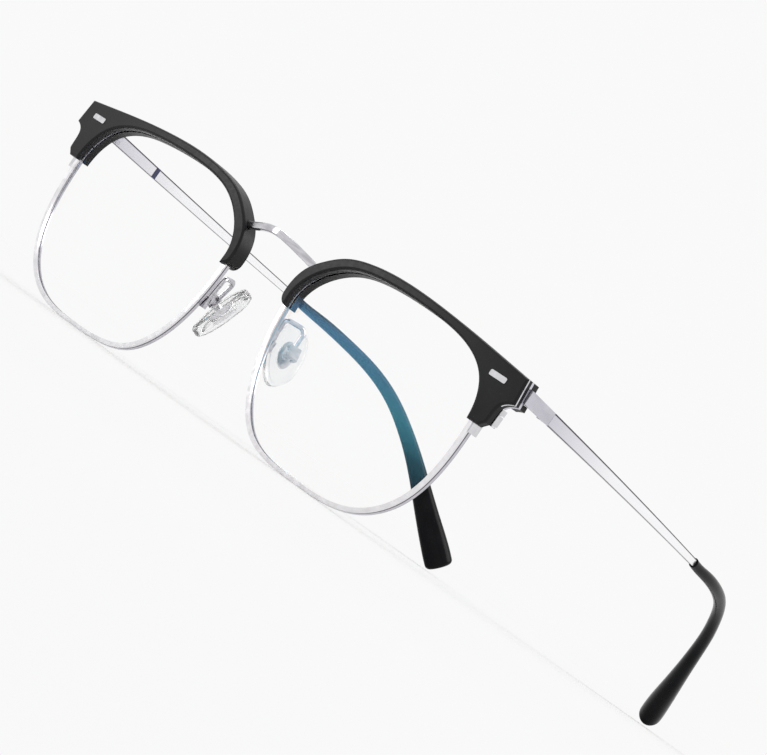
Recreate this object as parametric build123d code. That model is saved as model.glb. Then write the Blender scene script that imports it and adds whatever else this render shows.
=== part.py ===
from build123d import *
import math
import os

# Half rim (browline) eyeglasses. Millimetres, +Z up, z = 0 is the table that they stand on.
# The front faces -Y, the temples run towards +Y, and x = 0 is the mirror plane. Every paired
# piece is modelled on the +X side, which is the wearer's left, and mirrored for the right.

# The front: both fronts follow one shallow ball, and depths are measured back from it.
BALL_R = 300.0
BALL_CENTRE = (27.0, 295.35, 39.0)
LIP_DEPTH = 1.0  # how far the rim sits behind the brow's face
RIM_DEPTH = 1.5
BROW_DEPTH = 3.9
BROW_END_DEPTH = 3.8
TAIL_DEPTH = 2.0  # the brow beside the rim lock is only this deep

# Lens size 53, bridge 20
LENS_NASAL = 10.0
LENS_TEMPORAL = 63.0
LENS_BOTTOM = 0.78
LENS_TOP = 41.5
LENS_THICKNESS = 1.1
LENS_STEP = 0.5  # the lens is thinned to a tongue this wide all round
TONGUE_FRONT, TONGUE_BACK = 1.6, 2.1  # depths of that tongue's faces
LENS_BITE = 0.15  # lens edge held inside the rim's groove
RIM_WALL = 0.7  # from the lens edge to the rim's outer face
LIP_COVER = 0.42  # the brow's lips reach this far inside the lens edge
GROOVE_PLAY = 0.03
OUTLINE_STEPS = 60  # points used when the lens outline is grown or shrunk

# Brow ends, pin and trim
PIN_X, PIN_Z, PIN_LENGTH, PIN_HEIGHT = 63.5, 37.6, 4.1, 1.15
FRONT_ROUND = 0.5
PIN_PROUD = 0.14
PIN_PLAY = 0.02
TRIM_X = 67.2
TRIM_FRONT, TRIM_BACK = 0.45, 0.78
PLATE_FRONT, PLATE_BACK = 1.6, 2.2
PLATE_X = 64.9

# Bridge bar
BRIDGE_T, BRIDGE_W = 1.55, 1.2

# Temples: 145 long, flat bars that slope down a little and lean in
HINGE_X, HINGE_Y = 68.3, 9.0
HINGE_GAP = 0.04
KNUCKLE_R = 1.15
KNUCKLE_H = 0.8
KNUCKLE_GAP = 0.05
KNUCKLE_ROOM = 0.2
SCREW_R = 0.5
SCREW_PLAY = 0.04
SCREW_HEAD_R = 0.8
SCREW_HEAD_H = 0.3
BAR_THICKNESS = 1.0
BAR_OUTER_X = 70.2
BAR_SLOPE = 0.064
BAR_CURVE_R = 472.0  # the bar's gentle inward curve, seen from above
BAR_Z0 = 37.55
BAR_FRONT_H, BAR_REAR_H = 2.7, 1.5
SLEEVE_START = 77.5
TONGUE_LENGTH = 8.0
TONGUE_H, TONGUE_T = 0.9, 0.6
TONGUE_PLAY = 0.02
BAND_Y, BAND_LENGTH, BAND_T = 24.0, 1.1, 0.12

# Nose pads
PAD_TOP = Vector(7.9, 5.6, 25.4)
PAD_BOTTOM = Vector(12.4, 4.4, 12.7)
PAD_SPLAY = 28.0
PAD_LENGTH, PAD_WIDTH, PAD_THICKNESS = 13.4, 7.6, 2.4
ARM_R = 0.5


def ball(depth):
    """The ball that lies this far behind the brow's front face."""
    return Pos(*BALL_CENTRE) * Sphere(BALL_R - depth)


def shell(front, back):
    """The layer between two depths, cut down to the front's own region."""
    window = Pos(36, 0, 22) * Box(76, 24, 52)
    return (window & ball(front)) - ball(back)


def front_y(x, z, depth=0.0):
    """The y of the ball's surface over a point of the front."""
    radius = BALL_R - depth
    dx, dz = x - BALL_CENTRE[0], z - BALL_CENTRE[2]
    return BALL_CENTRE[1] - math.sqrt(radius**2 - dx**2 - dz**2)


def prism(face):
    """A face drawn in the XZ plane, made deep enough to cross the whole front."""
    return Pos(0, 12, 0) * extrude(face, 24, dir=(0, -1, 0))


def draw(points):
    """A closed smooth outline through points given as x, z."""
    return Spline(*[(x, 0, z) for x, z in points], periodic=True)


def grown_points(outline, grow):
    """Points evenly spaced along an outline, moved outwards by the same distance."""
    middle = outline.bounding_box().center()
    points = []
    for i in range(OUTLINE_STEPS):
        point, along = outline @ (i / OUTLINE_STEPS), outline % (i / OUTLINE_STEPS)
        outward = Vector(along.Z, 0, -along.X)
        if outward.dot(point - middle) < 0:
            outward = outward * -1
        moved = point + outward * grow
        points.append((moved.X, moved.Z))
    return points


def lens_face(grow=0.0):
    """The lens outline, or the same outline grown or shrunk all round."""
    middle = 0.5 * (LENS_NASAL + LENS_TEMPORAL)
    outline = draw(
        [
            (LENS_NASAL, 28.5),
            (10.5, 22.5),
            (12.0, 15.5),
            (15.0, 8.9),
            (20.6, 3.3),
            (28.0, 1.15),
            (middle, LENS_BOTTOM),
            (45.5, 1.2),
            (53.2, 3.7),
            (59.2, 9.3),
            (62.3, 17.5),
            (LENS_TEMPORAL, 25.5),
            (62.4, 31.5),
            (59.6, 36.4),
            (54.0, 39.6),
            (45.5, 41.1),
            (middle, LENS_TOP),
            (27.5, 41.2),
            (19.6, 39.6),
            (13.9, 36.1),
            (10.9, 32.3),
        ]
    )
    if grow:
        outline = draw(grown_points(outline, grow))
    return make_face(outline)


def brow_face():
    """The brow seen from the front, before the lens is taken out of it."""
    top = Spline(
        *[
            (x, 0, z)
            for x, z in [
                (8.35, 28.9),
                (8.5, 31.6),
                (9.8, 34.9),
                (12.6, 37.7),
                (17.0, 40.5),
                (23.0, 42.2),
                (31.0, 43.0),
                (40.5, 42.9),
                (52.0, 42.05),
                (69.0, 40.25),
            ]
        ]
    )
    corner = (69.65, 0, 34.85)
    end = Line(top @ 1, corner)
    step = Spline(
        corner, (68.2, 0, 34.3), (67.2, 0, 33.4), (66.8, 0, 32.0), (66.6, 0, 29.4)
    )
    tail = Polyline(step @ 1, (65.4, 0, 28.2), (40.0, 0, 28.2), (12.0, 0, 27.4))
    tip = ThreePointArc(tail @ 1, (9.3, 0, 27.1), top @ 0)
    return make_face(top + end + step + tail + tip)


def brow_zone(face, front, back, low_x):
    """The slice of the brow's outline beyond low_x, between two depths."""
    beyond = Pos(low_x + 20, 0, 30) * Box(40, 40, 40)
    return prism(face) & shell(front, back) & beyond


def bar_height(y):
    share = (y - HINGE_Y) / (SLEEVE_START - HINGE_Y)
    return BAR_FRONT_H + (BAR_REAR_H - BAR_FRONT_H) * share


def bar_z(y):
    return BAR_Z0 - BAR_SLOPE * y


def bar_x(y):
    """The bar's outer face: straight up to the hinge, then a long inward curve."""
    return BAR_OUTER_X - max(y - HINGE_Y, 0) ** 2 / (2 * BAR_CURVE_R)


def bar_side(y_front, y_back):
    """The bar seen from the side, as a slab much wider than the bar."""
    corners = [
        (0, y, bar_z(y) + sign * bar_height(y) / 2)
        for y, sign in [(y_front, 1), (y_back, 1), (y_back, -1), (y_front, -1)]
    ]
    return extrude(make_face(Polyline(*corners, close=True)), 90, dir=(1, 0, 0))


def bar_plan(y_front, y_back, thickness=BAR_THICKNESS, inset=0.0):
    """The bar seen from above, as a slab much taller than the bar."""
    stations = [y_front, 0.5 * (y_front + y_back), y_back]
    outer = Spline(*[(bar_x(y) - inset, y, 0) for y in stations])
    inner = Spline(*[(bar_x(y) - inset - thickness, y, 0) for y in stations])
    outline = outer + Line(outer @ 1, inner @ 1) + inner + Line(inner @ 0, outer @ 0)
    return extrude(make_face(outline), 60, dir=(0, 0, 1))


def hinge_cylinder(radius, low, high):
    middle = 0.5 * (low + high)
    return Pos(HINGE_X, HINGE_Y, middle) * Cylinder(radius, high - low)


def hinge_levels():
    """Lower and upper z of the three knuckles, from the bottom one up."""
    pitch = KNUCKLE_H + KNUCKLE_GAP
    middle = bar_z(HINGE_Y)
    return [
        (middle + pitch * k - KNUCKLE_H / 2, middle + pitch * k + KNUCKLE_H / 2)
        for k in (-1, 0, 1)
    ]


def knuckle(low, high, side):
    """One hinge knuckle with the web that joins it to its plate; side -1 is the front's."""
    web_length = KNUCKLE_R
    web = Pos(
        0.5 * (HINGE_X + 69.5),
        HINGE_Y + side * (web_length / 2 + HINGE_GAP / 2),
        0.5 * (low + high),
    ) * Box(69.5 - HINGE_X, web_length, high - low)
    return hinge_cylinder(KNUCKLE_R, low, high) + web


def make_rim():
    ring = prism(lens_face(RIM_WALL)) - prism(lens_face(-LENS_BITE))
    rim = ring & shell(LIP_DEPTH, LIP_DEPTH + RIM_DEPTH)
    groove = prism(lens_face(GROOVE_PLAY)) & shell(
        TONGUE_FRONT - GROOVE_PLAY, TONGUE_BACK + GROOVE_PLAY
    )
    split = Pos(LENS_TEMPORAL, 0, LOCK_SPLIT_Z) * Box(4, 12, LOCK_GAP)
    return rim - groove - split


def make_lens():
    tongue_ring = prism(lens_face()) & shell(TONGUE_FRONT, TONGUE_BACK)
    middle = 0.5 * (TONGUE_FRONT + TONGUE_BACK)
    body = prism(lens_face(-LENS_STEP)) & shell(
        middle - LENS_THICKNESS / 2, middle + LENS_THICKNESS / 2
    )
    return tongue_ring + body


# The rim lock, on the rim's outer side behind the brow's tail
LOCK_X, LOCK_R = 65.75, 0.95
LOCK_Y = front_y(LOCK_X, 31.5, 3.5)
LOCK_SPLIT_Z, LOCK_GAP = 32.0, 0.2
LOCK_TOP, LOCK_BOTTOM = 33.2, 29.8
LOCK_TAB_BOTTOM = 26.2
LOCK_TAB_X = 65.0
LOCK_SCREW_R, LOCK_HEAD_R, LOCK_HEAD_H = 0.4, 0.7, 0.35


def lock_half(low, high, tab_low, tab_high):
    """Half of the lock: a barrel with a tab that lies along the rim's outer face."""
    barrel = Pos(LOCK_X, LOCK_Y, 0.5 * (low + high)) * Cylinder(LOCK_R, high - low)
    outside_rim = Pos(LOCK_TAB_X - 2, 0, 0.5 * (tab_low + tab_high)) * Box(
        4, 30, tab_high - tab_low
    )
    tab = (outside_rim & shell(LIP_DEPTH + 0.25, 2.5)) - prism(lens_face(RIM_WALL))
    neck = Pos(64.9, LOCK_Y - 0.6, 0.5 * (low + high)) * Box(1.1, 1.6, high - low)
    neck = neck - prism(lens_face(RIM_WALL))
    hole = Pos(LOCK_X, LOCK_Y, 31) * Cylinder(LOCK_SCREW_R + SCREW_PLAY, 9)
    return barrel + neck + tab - hole


def make_lock_upper():
    return lock_half(
        LOCK_SPLIT_Z + LOCK_GAP / 2, LOCK_TOP, LOCK_SPLIT_Z + LOCK_GAP / 2, LOCK_TOP
    )


def make_lock_lower():
    return lock_half(
        LOCK_BOTTOM, LOCK_SPLIT_Z - LOCK_GAP / 2, LOCK_TAB_BOTTOM, LOCK_SPLIT_Z - LOCK_GAP / 2
    )


def make_lock_screw():
    shaft = Pos(LOCK_X, LOCK_Y, 0.5 * (LOCK_BOTTOM + LOCK_TOP)) * Cylinder(
        LOCK_SCREW_R, LOCK_TOP - LOCK_BOTTOM
    )
    head = Pos(LOCK_X, LOCK_Y, LOCK_BOTTOM - LOCK_HEAD_H / 2) * Cylinder(LOCK_HEAD_R, LOCK_HEAD_H)
    slot = Pos(LOCK_X, LOCK_Y, LOCK_BOTTOM - LOCK_HEAD_H) * Box(2, 0.2, 0.3)
    return shaft + head - slot


def make_end_piece():
    """Plate sandwiched in the brow's end, with a lug that runs back to the hinge."""
    plate = brow_zone(brow_face(), PLATE_FRONT, PLATE_BACK, PLATE_X)
    plate = plate - Pos(66, 0, 30.0) * Box(12, 30, 6.5)
    root_y = front_y(69.5, 37, PLATE_FRONT) + 0.15
    lug = bar_side(root_y, HINGE_Y - HINGE_GAP / 2) & bar_plan(root_y, HINGE_Y - HINGE_GAP / 2)
    lower, middle, upper = hinge_levels()
    piece = plate + lug
    piece = piece - hinge_cylinder(KNUCKLE_R + KNUCKLE_ROOM, middle[0] - 0.05, middle[1] + 0.05)
    for low, high in (lower, upper):
        piece = piece + knuckle(low, high, -1)
    bore = hinge_cylinder(SCREW_R + SCREW_PLAY, lower[0] - 1, upper[1] + 1)
    counterbore = hinge_cylinder(SCREW_HEAD_R + SCREW_PLAY, upper[1] - SCREW_HEAD_H, upper[1] + 1)
    return piece - bore - counterbore


def make_hinge_screw():
    lower, middle, upper = hinge_levels()
    shaft = hinge_cylinder(SCREW_R, lower[0], upper[1])
    head = hinge_cylinder(SCREW_HEAD_R, upper[1] - SCREW_HEAD_H, upper[1])
    slot = Pos(HINGE_X, HINGE_Y, upper[1]) * Box(3, 0.25, 0.3)
    return shaft + head - slot


def make_brow():
    face = brow_face()
    body = prism(face) & shell(0, BROW_DEPTH)
    body = body - prism(lens_face(-LIP_COVER))
    front_face = min(body.faces(), key=lambda f: (f.center() - Vector(*BALL_CENTRE)).Y)
    body = fillet(front_face.edges(), FRONT_ROUND)
    channel_ring = prism(lens_face(RIM_WALL + GROOVE_PLAY)) - prism(lens_face(-LENS_BITE - GROOVE_PLAY))
    body = body - (
        channel_ring & shell(LIP_DEPTH - GROOVE_PLAY, LIP_DEPTH + RIM_DEPTH + GROOVE_PLAY)
    )
    slit = prism(lens_face(GROOVE_PLAY)) & shell(
        TONGUE_FRONT - GROOVE_PLAY, TONGUE_BACK + GROOVE_PLAY
    )
    body = body - slit
    # shallower end, and room for the rim lock behind the tail
    body = body - brow_zone(face, BROW_END_DEPTH, BROW_DEPTH + 1, 64.3)
    lock_room = Pos(68.6, 0, 29) * Box(9.4, 40, 10.4) & shell(TAIL_DEPTH, BROW_DEPTH + 1)
    body = body - lock_room
    # room for the lock's tabs beside the rim
    tab_room = Pos(63.9, 0, 30) * Box(2.8, 40, 7) & shell(LIP_DEPTH + 0.2, 2.55)
    body = body - tab_room
    # slots for the trim and the end piece
    body = body - brow_zone(face, PLATE_FRONT - 0.02, PLATE_BACK + 0.02, PLATE_X - 0.02)
    body = body - brow_zone(face, TRIM_FRONT - 0.01, TRIM_BACK + 0.01, TRIM_X - 0.01)
    lug_room = Pos(70, 2.5, 37.45) * Box(3.0, 6.0, 3.0)
    body = body - (lug_room & ball(PLATE_FRONT))
    # the bridge's end is let into the brow's back
    body = body - bridge_bar(0.05)
    return body - pin_shape(PIN_PLAY, -2, 9)


def pin_shape(grow, front, back):
    outline = RectangleRounded(
        PIN_LENGTH + 2 * grow, PIN_HEIGHT + 2 * grow, 0.3 + grow
    )
    face = Pos(PIN_X, 0, PIN_Z) * Rot(90, 0, 0) * outline
    return prism(face) & (shell(max(front, 0), back) if front >= 0 else ball(front))


def make_pin():
    proud = pin_shape(0, -PIN_PROUD, 0) - ball(PLATE_FRONT - 0.05)
    return proud


def make_trim():
    return brow_zone(brow_face(), TRIM_FRONT, TRIM_BACK, TRIM_X) - prism(
        lens_face(-LIP_COVER)
    )


def bridge_bar(grow=0.0):
    """The bridge's arched bar, which bows up and forward, before it is cut to fit the rims."""
    end = (12.9, -2.0, 35.7)
    knee = (9.2, -3.0, 36.3)
    crown = (0, -5.9, 37.65)
    path = Spline(
        *[(-end[0], *end[1:]), (-knee[0], *knee[1:]), crown, knee, end]
    )
    section = Plane(path @ 0, x_dir=(0, 0, 1), z_dir=path % 0) * RectangleRounded(
        BRIDGE_T + 2 * grow, BRIDGE_W + 2 * grow, 0.3 + grow
    )
    return sweep(section, path)


def make_bridge():
    """The bridge, its ends lying against both rims."""
    bar = bridge_bar()
    for side in (1, -1):
        rim_space = prism(lens_face(RIM_WALL))
        if side < 0:
            rim_space = mirror(rim_space, about=Plane.YZ)
        bar = bar - rim_space
    return bar


# The sleeve's run: centre, width in the plane that it bends in, thickness across it
SLEEVE_STATIONS = [
    ((64.75, 77.5, 32.58), 2.1, 1.9),
    ((63.2, 86.0, 32.0), 2.35, 2.1),
    ((60.4, 95.5, 31.15), 2.6, 2.3),
    ((57.6, 102.2, 30.0), 2.8, 2.4),
    ((55.1, 107.2, 28.4), 2.95, 2.5),
    ((52.9, 111.2, 26.4), 3.1, 2.6),
    ((50.5, 115.3, 23.6), 3.35, 2.75),
    ((47.4, 119.9, 19.6), 3.8, 3.0),
    ((44.0, 124.6, 14.7), 4.6, 3.5),
    ((40.6, 129.2, 9.7), 5.6, 4.3),
    ((38.0, 132.7, 6.0), 6.3, 4.9),
    ((35.6, 136.0, 2.5), 6.3, 4.9),
]
TIP_ROUND = 1.1


def make_temple():
    """The flat bar, its hinge knuckle and the tongue that the sleeve is pushed on to."""
    start = HINGE_Y + HINGE_GAP / 2
    bar = bar_side(start, SLEEVE_START) & bar_plan(start, SLEEVE_START)
    lower, middle, upper = hinge_levels()
    for low, high in (lower, upper):
        bar = bar - hinge_cylinder(KNUCKLE_R + KNUCKLE_ROOM, low - 0.5, high + 0.02)
    bar = bar + knuckle(*middle, 1)
    bar = bar + tongue(0)
    return bar - hinge_cylinder(SCREW_R + SCREW_PLAY, lower[0] - 1, upper[1] + 1)


def tongue(grow):
    lean = math.degrees(math.atan((SLEEVE_START - HINGE_Y) / BAR_CURVE_R))
    slope = math.degrees(math.atan(BAR_SLOPE))
    root = Pos(bar_x(SLEEVE_START) - BAR_THICKNESS / 2, SLEEVE_START, bar_z(SLEEVE_START))
    length = TONGUE_LENGTH + grow + 0.5
    box = Box(TONGUE_T + 2 * grow, length, TONGUE_H + 2 * grow)
    return root * Rot(-slope, 0, lean) * Pos(0, length / 2 - 0.5, 0) * box


def make_sleeve():
    """The plastic end sleeve, which bends down behind the ear and flares into a paddle."""
    run = Spline(*[station[0] for station in SLEEVE_STATIONS])
    sections = []
    for point, width, thickness in SLEEVE_STATIONS:
        along = run % run.param_at_point(Vector(*point))
        across = along.cross(Vector(0, 0, 1)).normalized()
        plane = Plane(Vector(*point), x_dir=across, z_dir=along)
        sections.append(plane * Ellipse(thickness / 2, width / 2))
    body = loft(sections)
    last = body.edges().sort_by(Axis.Z)[0]
    body = fillet(last, TIP_ROUND)
    front_room = bar_side(SLEEVE_START - 4, SLEEVE_START + 0.02) & bar_plan(
        SLEEVE_START - 4, SLEEVE_START + 0.02
    )
    return body - tongue(TONGUE_PLAY) - front_room


def make_band():
    """A thin enamelled strip across the bar's inner face."""
    y0, y1 = BAND_Y, BAND_Y + BAND_LENGTH
    return bar_side(y0, y1) & bar_plan(y0, y1, thickness=BAND_T, inset=BAR_THICKNESS)


PAD_UP = (PAD_TOP - PAD_BOTTOM).normalized()
PAD_OUT = Vector(math.sin(math.radians(PAD_SPLAY)), math.cos(math.radians(PAD_SPLAY)), 0)
PAD_ACROSS = (PAD_OUT - PAD_UP * PAD_OUT.dot(PAD_UP)).normalized()
PAD_NORMAL = PAD_UP.cross(PAD_ACROSS)
PAD_PLANE = Plane((PAD_TOP + PAD_BOTTOM) * 0.5, x_dir=PAD_ACROSS * -1, z_dir=PAD_NORMAL)
PIVOT_BACK = 2.85  # from the pad's middle back to its pivot
LUG_T, LUG_R, LUG_PLAY = 0.96, 0.72, 0.05
PAD_SCREW_R, PAD_HEAD_R, PAD_HEAD_H = 0.35, 0.65, 0.3
PAD_BOX_T, PAD_BOX_UP, PAD_BOX_FRONT, PAD_BOX_BACK = 2.4, 2.65, -2.1, -4.0
CORE_LENGTH, CORE_WIDTH, CORE_T, STEM_R = 5.8, 3.2, 0.6, 0.85
PIVOT = (PAD_TOP + PAD_BOTTOM) * 0.5 - PAD_NORMAL * PIVOT_BACK
STEM_GAP = 0.25  # the stem stops this far short of the box
SLOT_TOP = 0.88  # the box is closed above the lug, where the wire joins it
ARM_END = PIVOT + PAD_UP * (SLOT_TOP + 0.2)
ARM_POINTS = [(10.35, -0.33, 18.0), (9.75, -0.3, 24.9), (11.5, 4.4, 25.3), tuple(ARM_END)]
ARM_BEND = 1.2
FOOT_SIZE = (1.3, 1.0, 2.4)


def pad_block(width, height, back, front):
    """A block in the pad's own frame, across, up and along its normal."""
    return PAD_PLANE * Pos(0, 0, 0.5 * (back + front)) * Box(width, height, front - back)


def pad_pin(radius, low, high):
    """A cylinder on the pad's pivot, from low to high across the pad."""
    return (
        PAD_PLANE
        * Pos(0.5 * (low + high), 0, -PIVOT_BACK)
        * Rot(0, 90, 0)
        * Cylinder(radius, high - low)
    )


def pad_core(grow=0.0):
    plate_t = CORE_T + 2 * grow
    plate = extrude(
        PAD_PLANE * Pos(0, 0, -plate_t / 2) * Ellipse(CORE_WIDTH / 2 + grow, CORE_LENGTH / 2 + grow),
        plate_t,
        dir=tuple(PAD_NORMAL),
    )
    stem_length = -PAD_BOX_FRONT - STEM_GAP
    stem = PAD_PLANE * Pos(0, 0, -stem_length / 2) * Cylinder(STEM_R + grow, stem_length)
    return plate + stem


def make_pad_core():
    """Oval metal plate moulded into the pad, with a stem and a lug for the pivot."""
    lug = pad_pin(LUG_R, -LUG_T / 2, LUG_T / 2)
    web = pad_block(LUG_T, 2 * LUG_R, -PIVOT_BACK, -1.3)
    return pad_core() + lug + web - pad_pin(PAD_SCREW_R + SCREW_PLAY, -3, 3)


def make_nose_pad():
    half, width = PAD_LENGTH / 2, PAD_WIDTH / 2
    outline = Spline(
        (0, -half),
        (-0.62 * width, -0.74 * half),
        (-width, 0.05 * half),
        (-0.72 * width, 0.76 * half),
        (0, half),
        (0.78 * width, 0.72 * half),
        (width, 0.0),
        (0.70 * width, -0.70 * half),
        periodic=True,
    )
    slab = extrude(make_face(outline), PAD_THICKNESS / 2, both=True)
    slab = fillet(slab.edges(), 0.8)
    return PAD_PLANE * slab - pad_core(0.01)


def make_pad_arm():
    """Bent wire with a foot on the rim's back and a slotted box for the pad's lug."""
    path = FilletPolyline(*ARM_POINTS, radius=ARM_BEND)
    wire = sweep(Plane(path @ 0, z_dir=path % 0) * Circle(ARM_R), path)
    foot_at = Pos(ARM_POINTS[0][0] + 0.1, ARM_POINTS[0][1], ARM_POINTS[0][2] + 0.8)
    foot = foot_at * Box(*FOOT_SIZE)
    box = pad_block(PAD_BOX_T, PAD_BOX_UP, PAD_BOX_BACK, PAD_BOX_FRONT)
    slot_back, slot_front = -PIVOT_BACK - LUG_R - 0.08, PAD_BOX_FRONT + 1
    slot = (
        PAD_PLANE
        * Pos(0, SLOT_TOP - 2.0, 0.5 * (slot_back + slot_front))
        * Box(LUG_T + 2 * LUG_PLAY, 4.0, slot_front - slot_back)
    )
    arm = (wire + foot + box) & ball(LIP_DEPTH + RIM_DEPTH + 0.01)
    return arm - slot - pad_pin(PAD_SCREW_R + 0.02, -3, 3)


def make_pad_screw():
    half = PAD_BOX_T / 2
    screw = pad_pin(PAD_SCREW_R, -half, half) + pad_pin(PAD_HEAD_R, half, half + PAD_HEAD_H)
    return screw


PAIRED = {
    "brow": make_brow,
    "brow_pin": make_pin,
    "brow_trim": make_trim,
    "rim": make_rim,
    "lens": make_lens,
    "end_piece": make_end_piece,
    "hinge_screw": make_hinge_screw,
    "rim_lock_upper": make_lock_upper,
    "rim_lock_lower": make_lock_lower,
    "rim_lock_screw": make_lock_screw,
    "pad_arm": make_pad_arm,
    "pad_screw": make_pad_screw,
    "pad_core": make_pad_core,
    "nose_pad": make_nose_pad,
    "temple": make_temple,
    "temple_band": make_band,
    "temple_sleeve": make_sleeve,
}

nodes = {"bridge": make_bridge()}
for name, make in PAIRED.items():
    left = make()
    nodes[name + "_left"] = left
    nodes[name + "_right"] = mirror(left, about=Plane.YZ)

# The origin goes to the middle of the footprint, at table height
boxes = [shape.bounding_box() for shape in nodes.values()]
front, back = min(b.min.Y for b in boxes), max(b.max.Y for b in boxes)
to_origin = Pos(0, -0.5 * (front + back), -min(b.min.Z for b in boxes))
print("moved by", to_origin.position)

os.makedirs("parts", exist_ok=True)
for name, shape in nodes.items():
    export_step(to_origin * shape, "parts/" + name + ".step")
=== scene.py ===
import bpy
import math
from mathutils import Matrix, Vector


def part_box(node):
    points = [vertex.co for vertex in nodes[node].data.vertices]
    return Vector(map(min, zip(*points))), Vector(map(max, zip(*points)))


# Half rim (browline) eyeglasses. Every piece keeps the shape it has in the CAD; this file gives
# each one its material, then builds the studio and the camera.
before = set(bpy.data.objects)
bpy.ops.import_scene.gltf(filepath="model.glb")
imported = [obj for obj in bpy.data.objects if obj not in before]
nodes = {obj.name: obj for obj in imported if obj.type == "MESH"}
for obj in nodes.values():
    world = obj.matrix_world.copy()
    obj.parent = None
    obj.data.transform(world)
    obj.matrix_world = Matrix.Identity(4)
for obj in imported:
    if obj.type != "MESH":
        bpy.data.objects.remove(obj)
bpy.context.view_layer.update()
MM = 0.001

# The ball that one half of the front follows; the other half mirrors it
BALL_R = 0.300
BALL_SIDE, BALL_HEIGHT = 0.027, 0.0389
front_low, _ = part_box("brow_left")
BALL_CENTRE = (BALL_SIDE, front_low[1] + BALL_R, BALL_HEIGHT)

# The temple bar's middle height and half height at its two ends, hinge first
temple_low, temple_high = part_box("temple_left")
BAR_SLOPE = 0.064
BAR_RUN = temple_high[1] - temple_low[1]
BAR_HALF = (1.35 * MM, 0.68 * MM)
HINGE_MIDDLE = temple_high[2] - BAR_HALF[0]
BAR_MIDDLE = (HINGE_MIDDLE, HINGE_MIDDLE - BAR_SLOPE * BAR_RUN)


# ---------------------------------------------------------------- node helpers
NOISE_LOW, NOISE_HIGH = 0.3, 0.7  # most of a noise texture's values lie between these
MIX_A, MIX_B, MIX_RESULT = 6, 7, 2  # the colour sockets of a Mix node


class Look:
    """One material and the short calls that build its shader nodes."""

    def __init__(self, name):
        self.material = bpy.data.materials.new(name)
        self.material.use_nodes = True
        tree = self.material.node_tree
        self.nodes, self.links = tree.nodes, tree.links
        self.shader = self.nodes["Principled BSDF"]
        self.output = self.nodes["Material Output"]
        self.place = self.nodes.new("ShaderNodeTexCoord").outputs["Object"]

    def node(self, kind, **settings):
        made = self.nodes.new("ShaderNode" + kind)
        for key, value in settings.items():
            setattr(made, key, value)
        return made

    def set(self, **sockets):
        for key, value in sockets.items():
            self.shader.inputs[key.replace("_", " ")].default_value = value

    def feed(self, source, target):
        """Links a socket to the target, or sets the target to a plain value."""
        if isinstance(source, bpy.types.NodeSocket):
            self.links.new(source, target)
        else:
            target.default_value = source

    def axes(self):
        """The three object coordinates."""
        split = self.node("SeparateXYZ")
        self.feed(self.place, split.inputs["Vector"])
        return [split.outputs[axis] for axis in "XYZ"]

    def stretched(self, scale):
        """Object coordinates scaled unevenly, for grain that runs one way."""
        mapping = self.node("Mapping")
        mapping.inputs["Scale"].default_value = scale
        self.feed(self.place, mapping.inputs["Vector"])
        return mapping.outputs["Vector"]

    def noise(self, scale, detail=3.0, roughness=0.5, vector=None):
        made = self.node("TexNoise")
        made.inputs["Scale"].default_value = scale
        made.inputs["Detail"].default_value = detail
        made.inputs["Roughness"].default_value = roughness
        self.feed(vector or self.place, made.inputs["Vector"])
        return made.outputs["Fac"]

    def math(self, operation, *values):
        made = self.node("Math", operation=operation)
        for value, target in zip(values, made.inputs):
            self.feed(value, target)
        return made.outputs[0]

    def mapped(self, source, start, end, low=0.0, high=1.0):
        """Maps the range from start to end on to the range from low to high."""
        made = self.node("MapRange")
        made.inputs["From Min"].default_value = start
        made.inputs["From Max"].default_value = end
        made.inputs["To Min"].default_value = low
        made.inputs["To Max"].default_value = high
        self.feed(source, made.inputs["Value"])
        return made.outputs["Result"]

    def ramp(self, source, stops):
        made = self.node("ValToRGB")
        elements = made.color_ramp.elements
        elements[0].position, elements[0].color = stops[0][0], (*stops[0][1], 1)
        elements[1].position, elements[1].color = stops[-1][0], (*stops[-1][1], 1)
        for position, color in stops[1:-1]:
            elements.new(position).color = (*color, 1)
        self.feed(source, made.inputs["Fac"])
        return made.outputs["Color"]

    def multiplied(self, first, second):
        made = self.node("Mix", data_type="RGBA", blend_type="MULTIPLY")
        made.inputs["Factor"].default_value = 1.0
        self.feed(first, made.inputs[MIX_A])
        self.feed(second, made.inputs[MIX_B])
        return made.outputs[MIX_RESULT]

    def color(self, source):
        self.feed(source, self.shader.inputs["Base Color"])

    def tint(self, noise, dark, light, start=NOISE_LOW, end=NOISE_HIGH):
        """Base colour that drifts between two tones with a noise."""
        self.color(self.ramp(noise, [(start, dark), (end, light)]))

    def roughen(self, noise, low, high):
        """Roughness that drifts between two values with a noise."""
        rough = self.mapped(noise, NOISE_LOW, NOISE_HIGH, low, high)
        self.feed(rough, self.shader.inputs["Roughness"])

    def bump(self, noise, strength, distance):
        made = self.node("Bump")
        made.inputs["Strength"].default_value = strength
        made.inputs["Distance"].default_value = distance
        self.feed(noise, made.inputs["Height"])
        self.feed(made.outputs["Normal"], self.shader.inputs["Normal"])


# ---------------------------------------------------------------- materials
def satin_black():
    look = Look("satin_black_acetate")
    look.set(Specular_IOR_Level=0.2, IOR=1.5)
    cloudy = look.noise(scale=140.0, detail=4.0)
    look.tint(cloudy, (0.005, 0.005, 0.006), (0.009, 0.009, 0.010))
    look.roughen(look.noise(scale=900.0), 0.33, 0.41)
    look.bump(look.noise(scale=5200.0, detail=2.0), strength=0.12, distance=0.02 * MM)
    return look.material


def sleeve_black():
    look = Look("sleeve_black")
    look.set(Specular_IOR_Level=0.1, IOR=1.4)
    look.tint(look.noise(scale=220.0), (0.003, 0.003, 0.004), (0.006, 0.006, 0.007))
    look.roughen(look.noise(scale=700.0), 0.16, 0.22)
    look.bump(look.noise(scale=2600.0, detail=2.0), strength=0.08, distance=0.02 * MM)
    return look.material


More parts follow.
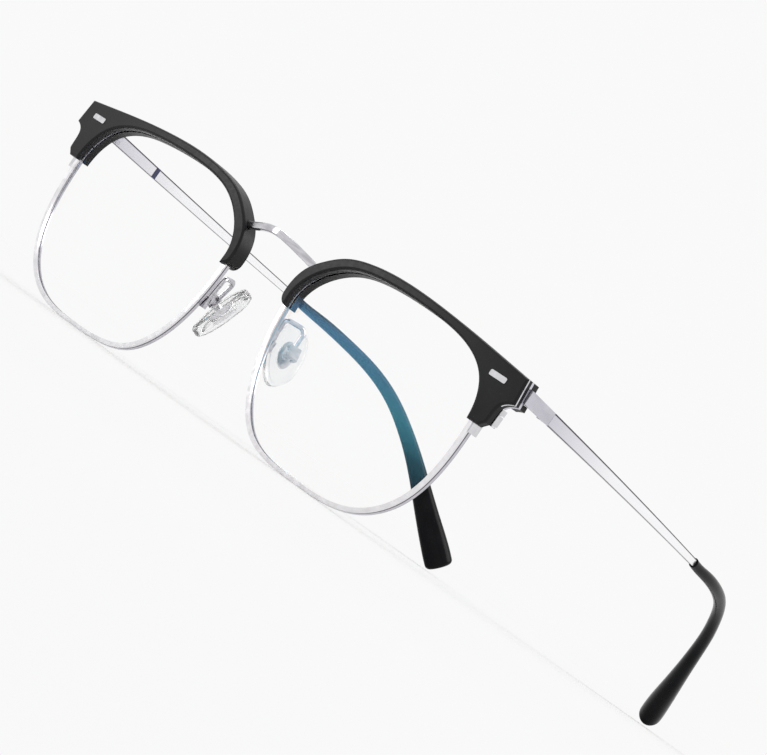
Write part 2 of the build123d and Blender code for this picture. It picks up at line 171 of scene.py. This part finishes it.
def metal(name, dark, light, rough, grain_scale, grain_stretch):
    """Bare metal whose grain runs along the axis with the smallest stretch."""
    look = Look(name)
    look.set(Metallic=1.0)
    along = look.stretched(grain_stretch)
    grain = look.noise(grain_scale, detail=4.0, roughness=0.6, vector=along)
    look.tint(grain, dark, light, start=0.25, end=0.75)
    look.roughen(grain, *rough)
    look.bump(grain, strength=0.08, distance=0.01 * MM)
    return look.material


def silicone():
    look = Look("clear_silicone")
    look.set(Transmission_Weight=0.92, IOR=1.41, Coat_Weight=0.2, Coat_Roughness=0.08)
    look.tint(look.noise(scale=300.0), (0.93, 0.935, 0.94), (0.985, 0.985, 0.985))
    look.roughen(look.noise(scale=800.0), 0.05, 0.12)
    look.bump(look.noise(scale=900.0, detail=2.0), strength=0.1, distance=0.03 * MM)
    return look.material


# What the lens coating reflects, by the share of the height from COATING_LOW to COATING_HIGH; this
# grading by height is a painted reflection
COATING_LOW, COATING_HIGH = 12 * MM, 31 * MM
COATING_WAVER = 0.04  # how far a noise shifts that share
COATING_ROUGHNESS = 0.02
COATING_AND_PAINTED_REFLECTION = [
    (0.0, (0.004, 0.014, 0.02)),
    (0.23, (0.008, 0.033, 0.046)),
    (0.5, (0.022, 0.1, 0.138)),
    (0.86, (0.036, 0.098, 0.17)),
    (0.97, (0.0, 0.0, 0.0)),
]


def coated_lens(name, strength):
    """Clear lens: the blue and teal that its coating reflects are missing from what it lets by.
    How strongly it reflects is graded by height and set per lens copy, a painted reflection.
    """
    look = Look(name)
    _, _, up = look.axes()
    height = look.mapped(up, COATING_LOW, COATING_HIGH)
    noise = look.noise(scale=60.0, detail=2.0)
    place = look.math("MULTIPLY_ADD", noise, COATING_WAVER, height)
    stops = [(share, tuple(strength * part for part in color)) for share, color in COATING_AND_PAINTED_REFLECTION]
    # The ramp paints the coating's reflection strongest part way up the lens
    reflected = look.ramp(place, stops)
    invert = look.node("Invert")
    look.feed(reflected, invert.inputs["Color"])
    through = look.node("BsdfTransparent")
    look.feed(invert.outputs["Color"], through.inputs["Color"])
    gloss = look.node("BsdfGlossy")
    gloss.inputs["Roughness"].default_value = COATING_ROUGHNESS
    look.feed(reflected, gloss.inputs["Color"])
    both = look.node("AddShader")
    look.feed(through.outputs[0], both.inputs[0])
    look.feed(gloss.outputs[0], both.inputs[1])
    look.feed(both.outputs[0], look.output.inputs["Surface"])
    look.nodes.remove(look.shader)
    return look.material


# The eyewire's tones from its front edge backwards, by the share of BAND_DEPTH behind the ball: a
# painted highlight on the front edge, a fine painted dark line, the grey face, then painted shade
# where the brow covers the wire
BAND_DEPTH = 4 * MM
# The white edge tone is a painted highlight; the dark line tone is painted shade.
EDGE_PAINTED_HIGHLIGHT, LINE_PAINTED_SHADE, FACE_GREY = (0.84, 0.83, 0.85), (0.10, 0.09, 0.11), (0.58, 0.57, 0.61)
EYEWIRE_TONES_AND_PAINTED_LIGHT = [
    (0.25, EDGE_PAINTED_HIGHLIGHT),
    (0.36, EDGE_PAINTED_HIGHLIGHT),
    (0.39, LINE_PAINTED_SHADE),
    (0.43, LINE_PAINTED_SHADE),
    (0.46, FACE_GREY),
    (0.6, FACE_GREY),
    (0.63, LINE_PAINTED_SHADE),
]


def by_depth(look, stops):
    """A ramp over how far a point lies behind the front's ball, the same on both halves."""
    across, back, up = look.axes()
    folded = look.node("CombineXYZ")
    look.feed(look.math("ABSOLUTE", across), folded.inputs["X"])
    look.feed(back, folded.inputs["Y"])
    look.feed(up, folded.inputs["Z"])
    distance = look.node("VectorMath", operation="DISTANCE")
    look.feed(folded.outputs["Vector"], distance.inputs[0])
    look.feed(BALL_CENTRE, distance.inputs[1])
    return look.ramp(look.mapped(distance.outputs["Value"], BALL_R, BALL_R - BAND_DEPTH), stops)


def eyewire():
    """Painted highlight on the polished front edge, a fine painted dark line, then a satin grey
    outer face with painted shade behind it.
    """
    look = Look("eyewire_silver_painted_light")
    look.set(Metallic=1.0)
    grain = look.noise(scale=700.0, detail=4.0, roughness=0.6)
    # Painted highlight and painted shade, set by depth behind the ball
    bands = by_depth(look, EYEWIRE_TONES_AND_PAINTED_LIGHT)
    cloudy = look.ramp(grain, [(NOISE_LOW, (0.88, 0.88, 0.88)), (NOISE_HIGH, (1.0, 1.0, 1.0))])
    look.color(look.multiplied(bands, cloudy))
    look.roughen(grain, 0.16, 0.28)
    look.bump(grain, strength=0.06, distance=0.01 * MM)
    return look.material


TEMPLE_TONES = [  # by the share of the bar's length, hinge first
    (0.0, (0.60, 0.59, 0.65)),
    (0.09, (0.70, 0.69, 0.74)),
    (0.35, (0.93, 0.93, 0.95)),
    (1.0, (0.97, 0.97, 0.98)),
]
TEMPLE_PAINTED_EDGE_SHADE = [  # by the share of the way from the bar's middle to its edge; the dark edge is painted shade
    (0.0, (1, 1, 1)),
    (0.8, (1, 1, 1)),
    (0.9, (0.12, 0.11, 0.12)),
]


def temple_metal():
    """Satin bar: lavender grey at the hinge, nearly white behind, with fine dark edges of painted
    shade.
    """
    look = Look("temple_silver_painted_edge_shade")
    look.set(Metallic=1.0)
    grain = look.noise(scale=300.0, detail=2.0, vector=look.stretched((3, 0.15, 3)))
    _, back, up = look.axes()
    run = look.mapped(back, temple_low[1], temple_high[1])
    middle = look.mapped(run, 0.0, 1.0, *BAR_MIDDLE)
    half = look.mapped(run, 0.0, 1.0, *BAR_HALF)
    off_middle = look.math("ABSOLUTE", look.math("SUBTRACT", up, middle))
    # The dark edges of the bar are painted shade
    edges = look.ramp(look.math("DIVIDE", off_middle, half), TEMPLE_PAINTED_EDGE_SHADE)
    look.color(look.multiplied(look.ramp(run, TEMPLE_TONES), edges))
    look.roughen(grain, 0.22, 0.3)
    look.bump(grain, strength=0.03, distance=0.005 * MM)
    return look.material


def enamel():
    look = Look("blue_enamel")
    look.set(Coat_Weight=0.4, Coat_Roughness=0.1)
    look.tint(look.noise(scale=900.0), (0.006, 0.012, 0.05), (0.01, 0.02, 0.08))
    look.roughen(look.noise(scale=1500.0), 0.25, 0.35)
    return look.material


BLACK = satin_black()
SLEEVE = sleeve_black()
POLISHED = metal(
    "polished_silver", (0.60, 0.60, 0.62), (0.72, 0.72, 0.74), (0.12, 0.2), 900.0, (1, 1, 1)
)
SATIN = metal(
    "satin_silver", (0.74, 0.73, 0.77), (0.86, 0.85, 0.88), (0.26, 0.36), 500.0, (3, 0.2, 3)
)
EYEWIRE = eyewire()
TEMPLE = temple_metal()
LUG = metal(
    "lug_silver", (0.50, 0.49, 0.54), (0.60, 0.59, 0.64), (0.24, 0.32), 500.0, (1, 0.3, 1)
)
WIRE = metal(
    "bright_wire", (0.36, 0.35, 0.38), (0.74, 0.73, 0.76), (0.1, 0.18), 260.0, (1, 1, 5)
)
SILICONE = silicone()
# The two lens copies differ only in how strong their painted coating reflection is
LENS_LEFT_PAINTED_REFLECTION = coated_lens("coated_lens_left_painted_reflection", strength=1.0)
LENS_RIGHT_PAINTED_REFLECTION = coated_lens("coated_lens_right_painted_reflection", strength=0.12)
ENAMEL = enamel()

FINISH = {
    "brow": BLACK,
    "brow_pin": POLISHED,
    "brow_trim": POLISHED,
    "rim": EYEWIRE,
    "lens": LENS_LEFT_PAINTED_REFLECTION,
    "end_piece": LUG,
    "hinge_screw": SATIN,
    "rim_lock_upper": POLISHED,
    "rim_lock_lower": POLISHED,
    "rim_lock_screw": SATIN,
    "pad_arm": WIRE,
    "pad_screw": SATIN,
    "pad_core": SATIN,
    "nose_pad": SILICONE,
    "temple": TEMPLE,
    "temple_band": ENAMEL,
    "temple_sleeve": SLEEVE,
    "bridge": WIRE,
}


def paint(obj, material):
    """Gives every slot of an object one material."""
    slots = obj.data.materials
    if len(slots) == 0:
        slots.append(material)
    for index in range(len(slots)):
        slots[index] = material


for name, node in nodes.items():
    kind = name.removesuffix("_left").removesuffix("_right")
    paint(node, FINISH[kind])
paint(nodes["lens_right"], LENS_RIGHT_PAINTED_REFLECTION)  # its painted coating reflection is kept weak


# ---------------------------------------------------------------- studio
WHITE = 0.948  # the backdrop's even near-white
FLOOR_SIZE = 60.0
FLOOR_TONES = ((0.825, 0.825, 0.825), (0.835, 0.835, 0.835))

world = bpy.data.worlds.new("studio")
bpy.context.scene.world = world
world.use_nodes = True
backdrop = world.node_tree.nodes["Background"]
backdrop.inputs["Color"].default_value = (WHITE, WHITE, WHITE, 1)
backdrop.inputs["Strength"].default_value = 1.0

bpy.ops.mesh.primitive_plane_add(size=FLOOR_SIZE, location=(0, 0, 0))
floor = bpy.context.object
floor.name = "floor"
floor_look = Look("pale_floor")
floor_look.set(Roughness=0.9, Specular_IOR_Level=0.0)
floor_look.tint(floor_look.noise(scale=3.0), *FLOOR_TONES)
paint(floor, floor_look.material)

KEY_ALONG = (-0.746, -0.666, -0.75)  # the way the key light shines, so shadows run to the left
KEY_STRENGTH = 1.0
KEY_SPREAD = 34.0  # degrees; wide, for soft shadows


def add_light(name, light, along):
    """Puts a light in the scene, shining along a direction."""
    made = bpy.data.objects.new(name, light)
    made.rotation_mode = "QUATERNION"
    made.rotation_quaternion = along.to_track_quat("-Z", "Y")
    bpy.context.scene.collection.objects.link(made)
    return made


key = bpy.data.lights.new("key", "SUN")
key.energy = KEY_STRENGTH
key.angle = math.radians(KEY_SPREAD)
add_light("key", key, Vector(KEY_ALONG))

# Only these mirror the soft panels: on the clear pieces a panel would show as a bright streak
opaque = bpy.data.collections.new("opaque_pieces")
for name, node in nodes.items():
    if not name.startswith(("lens", "nose_pad")):
        opaque.objects.link(node)

PANEL_DISTANCE = 1.0


def softbox(name, towards, width, height, radiance):
    """A soft panel that shows only in gloss, standing off in one direction from the origin."""
    panel = bpy.data.lights.new(name, "AREA")
    panel.shape = "RECTANGLE"
    panel.size, panel.size_y = width, height
    panel.energy = radiance * math.pi * width * height
    direction = Vector(towards).normalized()
    made = add_light(name, panel, -direction)
    made.location = direction * PANEL_DISTANCE
    made.visible_diffuse = False
    made.visible_camera = False
    made.light_linking.receiver_collection = opaque


softbox("front_panel", towards=(-0.67, -0.74, 0.06), width=0.22, height=0.6, radiance=7.0)
softbox("top_panel", towards=(-0.55, 0.0, 0.83), width=0.3, height=0.5, radiance=4.0)


# ---------------------------------------------------------------- camera
AZIMUTH, ELEVATION, ROLL = 41.73, -1.64, 35.24  # degrees
CAMERA_AT = Vector((0.4990, -0.5818, 0.00607))
SENSOR, FOCAL = 36.0, 174.24  # mm
CLIP_START, CLIP_END = 0.01, 200.0

azimuth, elevation, roll = (math.radians(angle) for angle in (AZIMUTH, ELEVATION, ROLL))
forward = Vector(
    (
        -math.sin(azimuth) * math.cos(elevation),
        math.cos(azimuth) * math.cos(elevation),
        -math.sin(elevation),
    )
)
level = Vector((math.cos(azimuth), math.sin(azimuth), 0))
upright = level.cross(forward)
image_x = level * math.cos(roll) + upright * math.sin(roll)
image_y = upright * math.cos(roll) - level * math.sin(roll)
camera = bpy.data.objects.new("camera", bpy.data.cameras.new("camera"))
camera.data.sensor_width = SENSOR
camera.data.sensor_fit = "HORIZONTAL"
camera.data.lens = FOCAL
camera.data.clip_start = CLIP_START
camera.data.clip_end = CLIP_END
turn = Matrix((image_x, image_y, -forward)).transposed()
camera.matrix_world = Matrix.Translation(CAMERA_AT) @ turn.to_4x4()
bpy.context.scene.collection.objects.link(camera)
bpy.context.scene.camera = camera
bpy.context.scene.view_settings.view_transform = "Standard"
